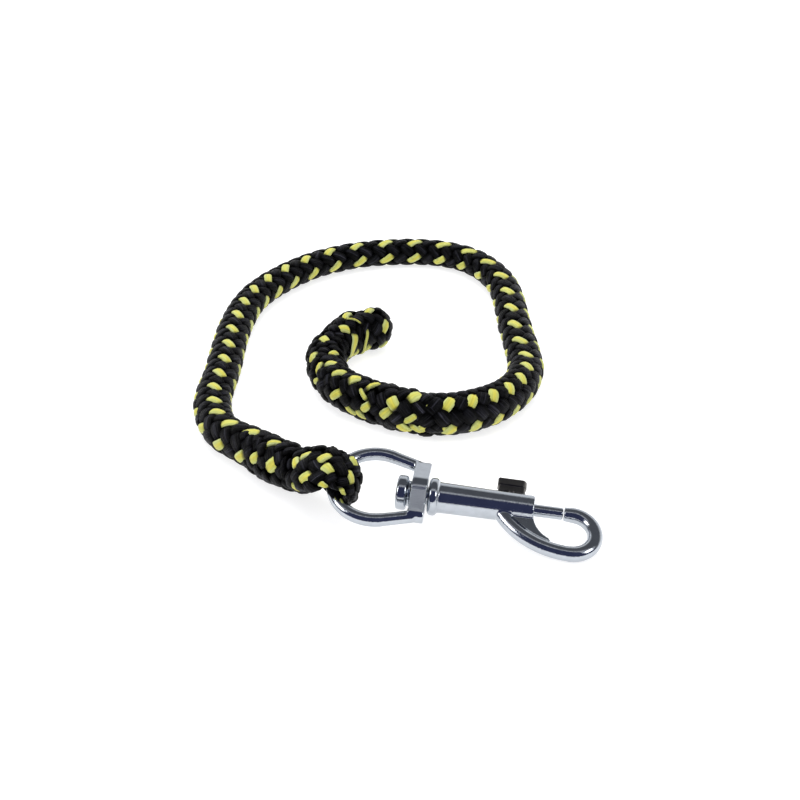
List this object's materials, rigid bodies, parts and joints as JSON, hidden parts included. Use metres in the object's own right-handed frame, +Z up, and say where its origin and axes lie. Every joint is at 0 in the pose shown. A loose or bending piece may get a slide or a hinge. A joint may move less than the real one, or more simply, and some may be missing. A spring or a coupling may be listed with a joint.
{
  "type": "lead rope",
  "caption": "Short braided lead rope, spliced at one end to a swivel bolt snap with a sprung thumb bolt, and folded back and buried at its other end.",
  "frame": {"origin": "middle of the snap's footprint, on the surface it lies on", "axes": "+X along the snap towards its hook, +Z up, the rope's loop behind towards +Y"},
  "size_m": [0.1902, 0.2693, 0.0262],
  "materials": {
    "chrome": "polished",
    "stud_metal": "polished, darker",
    "spring_steel": "drawn wire",
    "rope": "braided yarn, black with yellow flecks"
  },
  "bodies": {
    "rope": {"rope_eye": "rope", "eye_splice": "rope", "rope_run": "rope", "end_splice": "rope"},
    "bail": {"swivel_bail": "chrome"},
    "snap": {"snap_body": "chrome", "swivel_rivet": "chrome", "bolt_spring": "spring_steel"},
    "bolt": {"bolt": "chrome", "thumb_stud": "stud_metal"}
  },
  "joints": [
    {"name": "bail_swing", "type": "hinge", "parent": "rope", "child": "bail", "pos_m": [-0.05094, 0.00059, 0.01482], "axis": [-0.0158, -0.9659, -0.2583], "range_deg": [-60, 60]},
    {"name": "snap_swivel", "type": "hinge", "parent": "bail", "child": "snap", "pos_m": [-0.0138, 0.001, 0.011], "axis": [0.9981, 0, -0.061], "continuous": true},
    {"name": "bolt_slide", "type": "slide", "parent": "snap", "child": "bolt", "axis": [-0.9981, 0, 0.061], "range_m": [0, 0.011], "stiffness_N_per_m": 300, "springref_m": -0.004, "deforming": ["bolt_spring"]}
  ]
}
